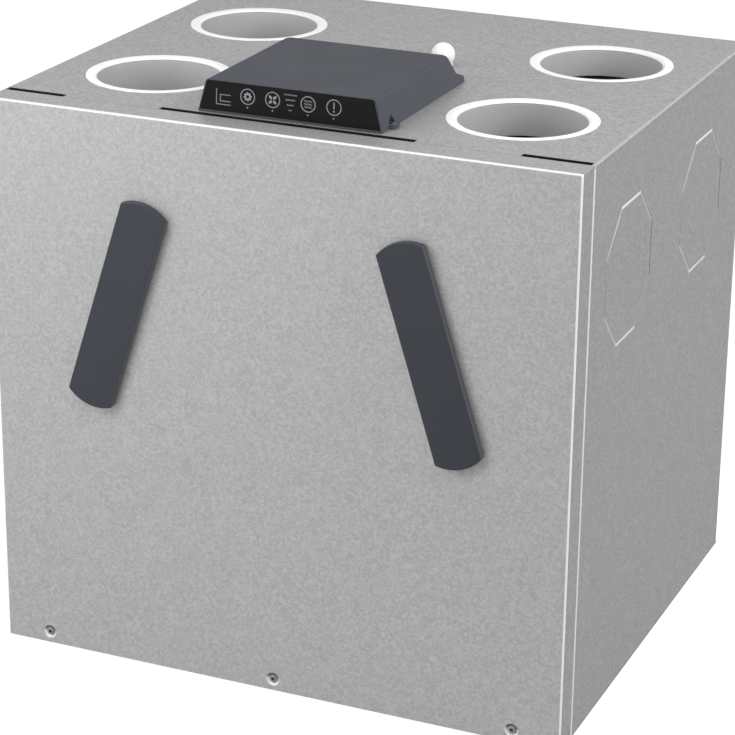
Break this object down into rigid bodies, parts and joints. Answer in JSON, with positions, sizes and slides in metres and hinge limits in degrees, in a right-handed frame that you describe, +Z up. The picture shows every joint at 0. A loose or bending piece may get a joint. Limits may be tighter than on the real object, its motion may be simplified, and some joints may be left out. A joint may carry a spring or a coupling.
{
  "type": "air handling unit",
  "caption": "Box-shaped ventilation unit with heat recovery: duct ports and control box on top, pull-off filter covers on the front, duct knock-outs on the sides.",
  "frame": {"origin": "middle of the footprint, on the floor; the footprint runs from the faces of the filter covers to the back of the hanging bracket", "axes": "+Z up, front cover faces -Y, +X to the right seen from the front"},
  "size_m": [0.6, 0.5432, 0.6025],
  "materials": {
    "coated_steel": "aluminium-zinc coated sheet, fine matt grain",
    "white_plastic": "moulded, satin",
    "grey_plastic": "moulded, satin",
    "slate_plastic": "moulded, fine texture",
    "black_gloss": "gloss, with printed grey symbols",
    "black_foam": "bead foam",
    "filter_board": "filter fleece in a board frame",
    "screw_steel": "zinc plated",
    "black_rubber": "matt"
  },
  "bodies": {
    "cabinet": {"front_cover": "coated_steel", "front_insulation": "black_foam", "cover_screw_left": "screw_steel", "cover_screw_middle": "screw_steel", "cover_screw_right": "screw_steel", "top_panel": "coated_steel", "bottom_panel": "coated_steel", "back_panel": "coated_steel", "side_panel_left": "coated_steel", "side_panel_right": "coated_steel", "knockout_front_left": "coated_steel", "knockout_rear_left": "coated_steel", "knockout_front_right": "coated_steel", "knockout_rear_right": "coated_steel", "hanging_bracket": "coated_steel", "back_spacer_left": "black_rubber", "back_spacer_right": "black_rubber", "core_left": "black_foam", "core_middle": "black_foam", "core_right": "black_foam", "duct_front_left_ring": "white_plastic", "duct_front_right_ring": "white_plastic", "duct_rear_left_ring": "white_plastic", "duct_rear_right_ring": "white_plastic", "duct_front_left_collar": "grey_plastic", "duct_front_right_collar": "grey_plastic", "duct_rear_left_collar": "grey_plastic", "duct_rear_right_collar": "grey_plastic", "filter_left": "filter_board", "filter_right": "filter_board", "control_box": "slate_plastic", "control_panel": "black_gloss", "cable_entry_cap": "white_plastic", "drain_cap": "grey_plastic", "duct_block_front_left": "black_foam", "duct_block_front_right": "black_foam", "duct_block_rear_left": "black_foam", "duct_block_rear_right": "black_foam"},
    "filter_cover_left": {"filter_cover_left": "slate_plastic", "filter_plug_left": "black_foam"},
    "filter_cover_right": {"filter_cover_right": "slate_plastic", "filter_plug_right": "black_foam"}
  },
  "joints": [
    {"name": "filter_cover_left_pull", "type": "slide", "parent": "cabinet", "child": "filter_cover_left", "axis": [0, -1, 0], "range_m": [0, 0.045]},
    {"name": "filter_cover_right_pull", "type": "slide", "parent": "cabinet", "child": "filter_cover_right", "axis": [0, -1, 0], "range_m": [0, 0.045]}
  ]
}
